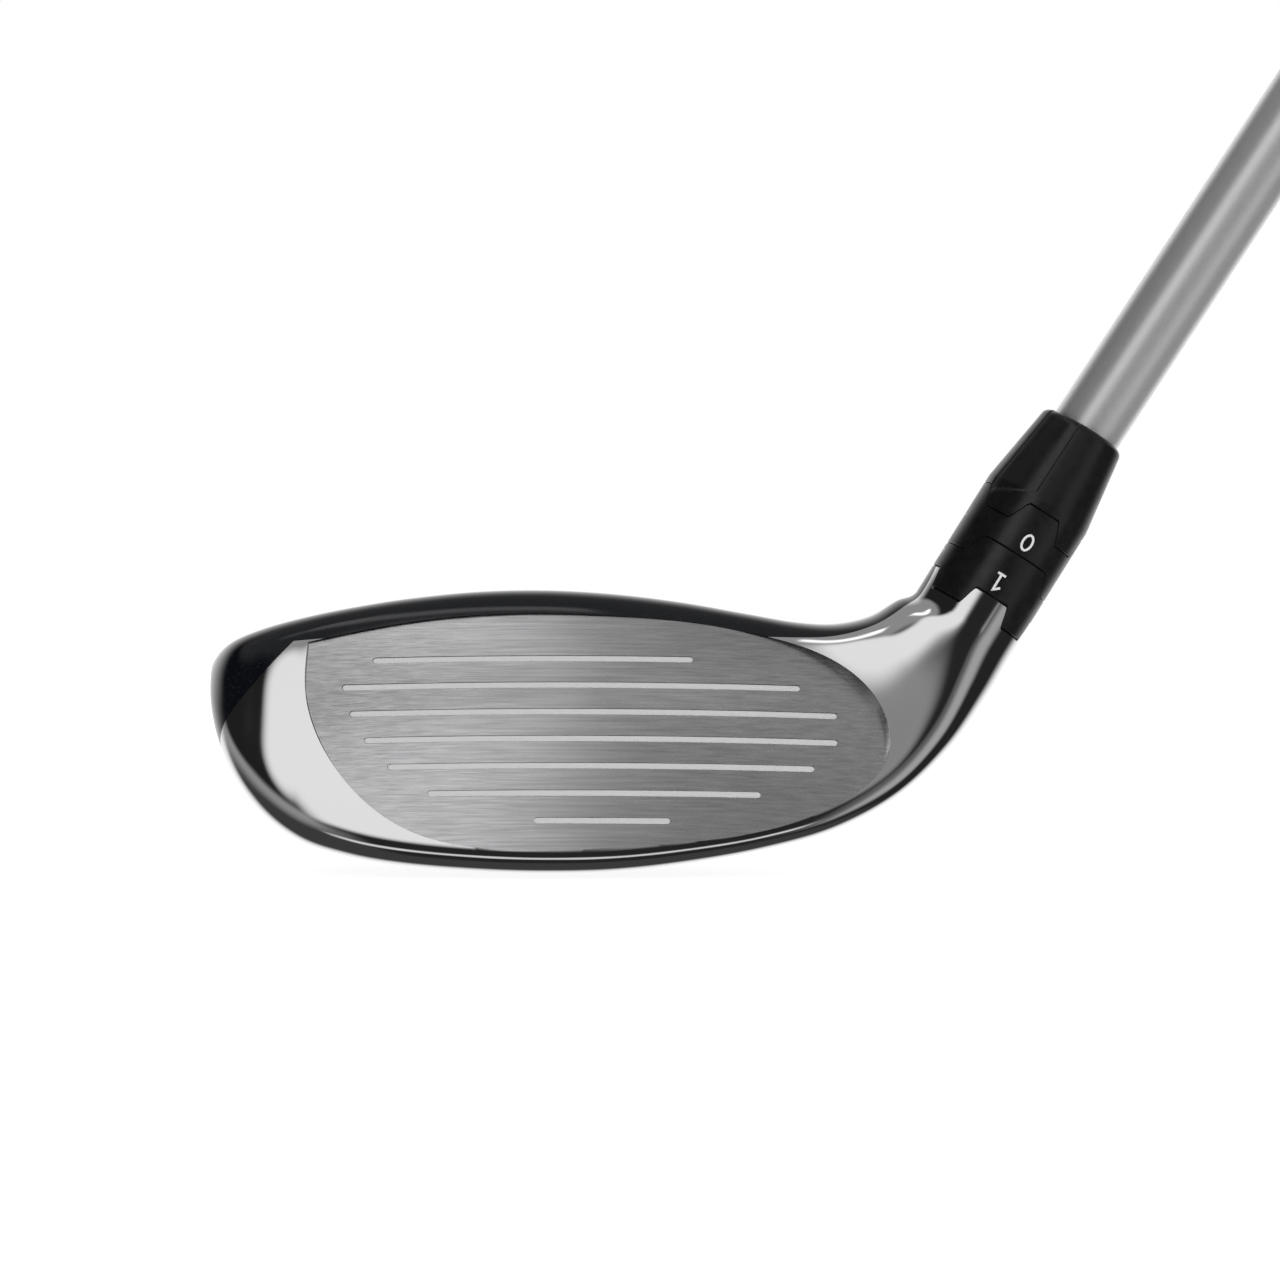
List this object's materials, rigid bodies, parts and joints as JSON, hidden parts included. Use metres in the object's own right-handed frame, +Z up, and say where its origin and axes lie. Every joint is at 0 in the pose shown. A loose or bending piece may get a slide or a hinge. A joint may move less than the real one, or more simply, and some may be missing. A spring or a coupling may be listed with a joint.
{
  "type": "hybrid golf club",
  "caption": "Right-handed hybrid golf club with a hollow steel head, toothed adjustable hosel rings, tapered shaft and rubber grip, standing at address.",
  "frame": {"origin": "point where the sole rests on the ground", "axes": "+Z up, +X from toe to heel, the face looks toward -Y"},
  "size_m": [0.643, 0.0596, 0.8527],
  "materials": {
    "polished_steel": "mirror polish",
    "brushed_face": "brushed from toe to heel",
    "gloss_black": "gloss lacquer",
    "black_anodised": "satin anodised",
    "silver_paint": "satin metallic lacquer over carbon fibre",
    "grip_rubber": "moulded pattern",
    "seal_rubber": "smooth",
    "cap_plastic": "moulded",
    "collar_plastic": "gloss",
    "plain_steel": "machined",
    "black_steel": "black oxide",
    "tungsten": "sintered",
    "brass": "turned",
    "tape": "paper tape"
  },
  "bodies": {
    "club": {"shaft": "silver_paint", "tip_weight": "brass", "grip_tape": "tape", "grip": "grip_rubber", "grip_end_cap": "cap_plastic", "rim_collar": "collar_plastic", "adapter_sleeve": "black_anodised", "thread_insert": "plain_steel", "sleeve_o_ring": "seal_rubber"},
    "upper_ring": {"lie_ring": "black_anodised"},
    "lower_ring": {"loft_ring": "black_anodised"},
    "head": {"head_body": "polished_steel", "face_plate": "brushed_face", "crown": "gloss_black", "brace_bar_toe": "plain_steel", "brace_bar_heel": "plain_steel", "inner_weight": "tungsten"},
    "screw_carrier": {"hosel_screw_washer": "plain_steel"},
    "screw": {"hosel_screw": "black_steel"},
    "weight_carrier": {"weight_seal": "seal_rubber"},
    "weight": {"weight_screw": "black_steel"}
  },
  "joints": [
    {"name": "lie_ring_lift", "type": "slide", "parent": "club", "child": "upper_ring", "axis": [-0.5292, 0, -0.8485], "range_m": [0, 0.0038]},
    {"name": "loft_ring_lift", "type": "slide", "parent": "upper_ring", "child": "lower_ring", "axis": [-0.5292, 0, -0.8485], "range_m": [0, 0.0038]},
    {"name": "head_pull", "type": "slide", "parent": "lower_ring", "child": "head", "axis": [-0.5292, 0, -0.8485], "range_m": [0, 0.03]},
    {"name": "hosel_screw_travel", "type": "slide", "parent": "head", "child": "screw_carrier", "axis": [-0.5292, 0, -0.8485], "range_m": [0, 0.008]},
    {"name": "hosel_screw_turn", "type": "hinge", "parent": "screw_carrier", "child": "screw", "pos_m": [0.04253, 0.0025, 0.01219], "axis": [-0.5292, 0, -0.8485], "range_deg": [0, 3601]},
    {"name": "weight_travel", "type": "slide", "parent": "head", "child": "weight_carrier", "axis": [0, 0.2368, -0.9715], "range_m": [0, 0.01]},
    {"name": "weight_turn", "type": "hinge", "parent": "weight_carrier", "child": "weight", "pos_m": [-0.004, 0.031, 0.0028], "axis": [0, 0.2368, -0.9715], "range_deg": [0, 3601]}
  ],
  "couplings": [
    {"joint": "hosel_screw_turn", "follows": "hosel_screw_travel", "rad_per_m": 7854},
    {"joint": "weight_turn", "follows": "weight_travel", "rad_per_m": 6283.2}
  ]
}
